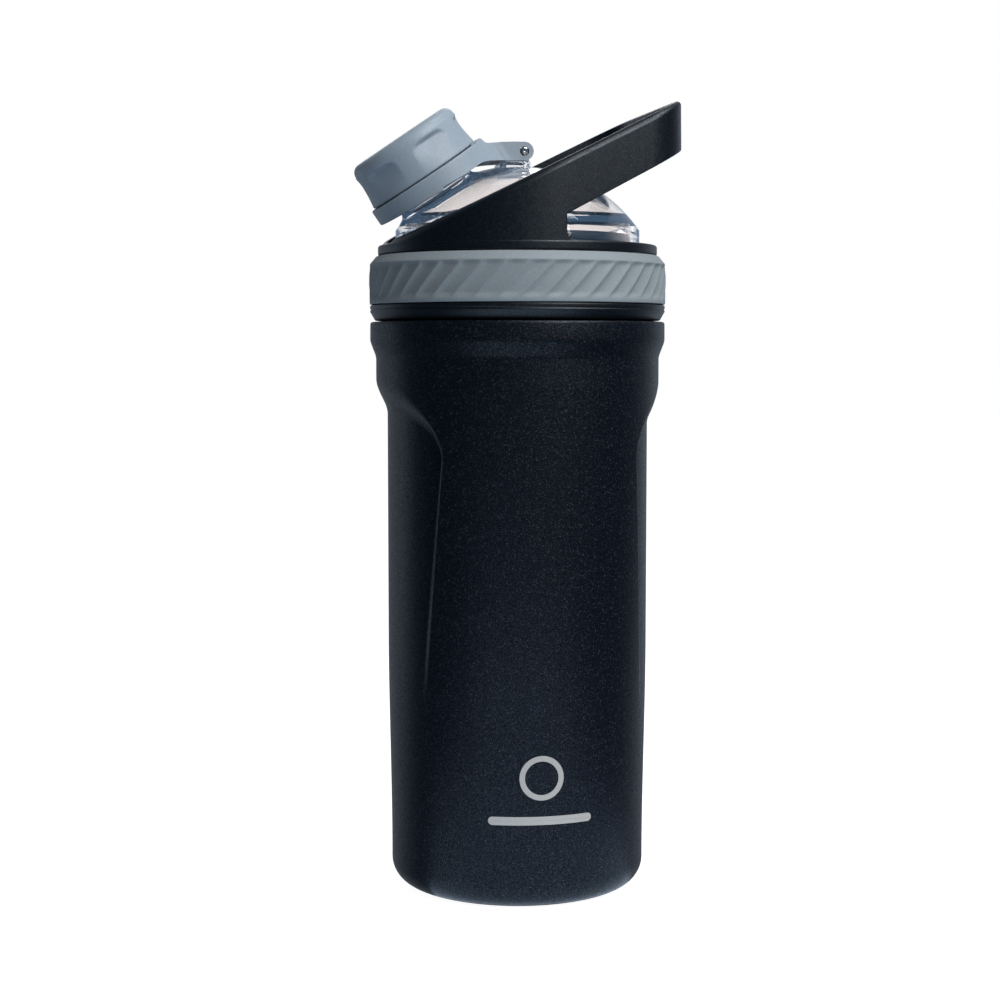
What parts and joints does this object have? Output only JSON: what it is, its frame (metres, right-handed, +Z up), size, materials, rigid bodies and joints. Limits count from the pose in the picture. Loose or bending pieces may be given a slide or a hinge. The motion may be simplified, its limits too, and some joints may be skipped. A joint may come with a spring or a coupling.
{
  "type": "insulated protein shaker bottle",
  "caption": "Insulated steel shaker bottle with grip recesses, a screw lid with a loop handle, a clear dome with a hinged spout cap and a wire mixing ball.",
  "frame": {"origin": "centre of the flat base, on the surface the bottle stands on", "axes": "+Z up the bottle, -X towards the spout, +X towards the loop handle"},
  "size_m": [0.0991, 0.0944, 0.2489],
  "materials": {
    "powder_coat": "fine-grained satin powder coat, near black with a blue cast",
    "steel": "brushed stainless steel",
    "black_plastic": "satin moulded black plastic with a fine texture",
    "grey_rubber": "soft-touch grey rubber",
    "clear_plastic": "clear gloss plastic with a faint blue tint",
    "blue_grey_plastic": "satin blue-grey moulded plastic",
    "silicone": "soft translucent grey silicone"
  },
  "bodies": {
    "bottle": {"outer_shell": "powder_coat", "inner_liner": "steel", "base_plate": "steel", "vacuum_getter": "steel"},
    "lid_carrier": {"lid_gasket": "silicone"},
    "lid": {"lid_collar": "black_plastic", "grip_ring": "grey_rubber", "handle_frame": "black_plastic", "spout_dome": "clear_plastic", "dome_seal": "silicone", "hinge_pin": "steel"},
    "tether": {"cap_tether": "blue_grey_plastic"},
    "cap": {"cap_knob": "blue_grey_plastic", "cap_insert": "blue_grey_plastic", "cap_gasket": "silicone"},
    "ball": {"mixing_ball": "steel"}
  },
  "joints": [
    {"name": "lid_rise", "type": "slide", "parent": "bottle", "child": "lid_carrier", "axis": [0, 0, 1], "range_m": [0, 0.0201]},
    {"name": "lid_turn", "type": "hinge", "parent": "lid_carrier", "child": "lid", "pos_m": [0, 0, 0.19], "axis": [0, 0, 1], "range_deg": [0, 720]},
    {"name": "cap_flip", "type": "hinge", "parent": "lid", "child": "tether", "pos_m": [0.0005, 0, 0.2336], "axis": [0, 1, 0], "range_deg": [0, 155]},
    {"name": "cap_twist", "type": "hinge", "parent": "tether", "child": "cap", "pos_m": [-0.03, 0, 0.22605], "axis": [-0.5635, 0, 0.8261], "range_deg": [-80, 0]},
    {"name": "ball_rise", "type": "slide", "parent": "bottle", "child": "ball", "axis": [0, 0, 1], "range_m": [0, 0.14]}
  ],
  "couplings": [
    {"joint": "lid_rise", "follows": "lid_turn", "m_per_rad": 0.0015915}
  ]
}
